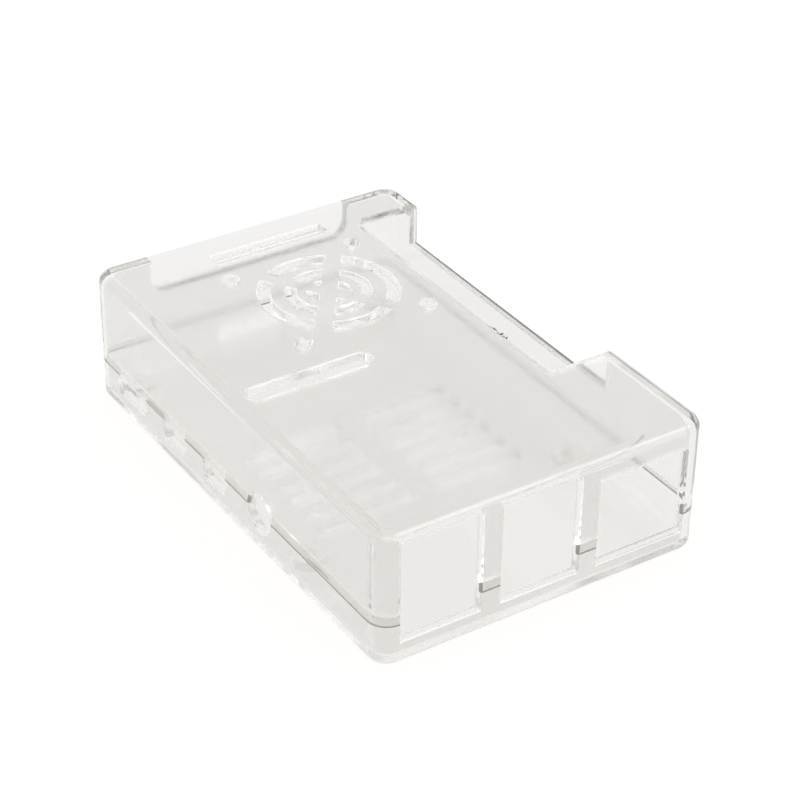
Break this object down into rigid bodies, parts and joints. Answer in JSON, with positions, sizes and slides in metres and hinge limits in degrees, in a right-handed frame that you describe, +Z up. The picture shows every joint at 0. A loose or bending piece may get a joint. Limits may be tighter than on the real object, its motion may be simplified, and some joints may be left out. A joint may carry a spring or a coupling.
{
  "type": "single board computer case",
  "caption": "Clear two-piece moulded case for a single board computer, with a fan grille, ribbon slots, a pin header notch, port openings and floor vents.",
  "frame": {"origin": "centre of the underside, on the surface that the case stands on", "axes": "+X towards the end with the three tall sockets, +Y towards the pin header side, +Z up"},
  "size_m": [0.091, 0.06, 0.0242],
  "materials": {
    "clear_plastic": "glossy"
  },
  "bodies": {
    "shell": {"bottom_shell": "clear_plastic"},
    "cover": {"top_cover": "clear_plastic"}
  },
  "joints": [
    {"name": "cover_lift", "type": "slide", "parent": "shell", "child": "cover", "axis": [0, 0, 1], "range_m": [0, 0.03]}
  ]
}
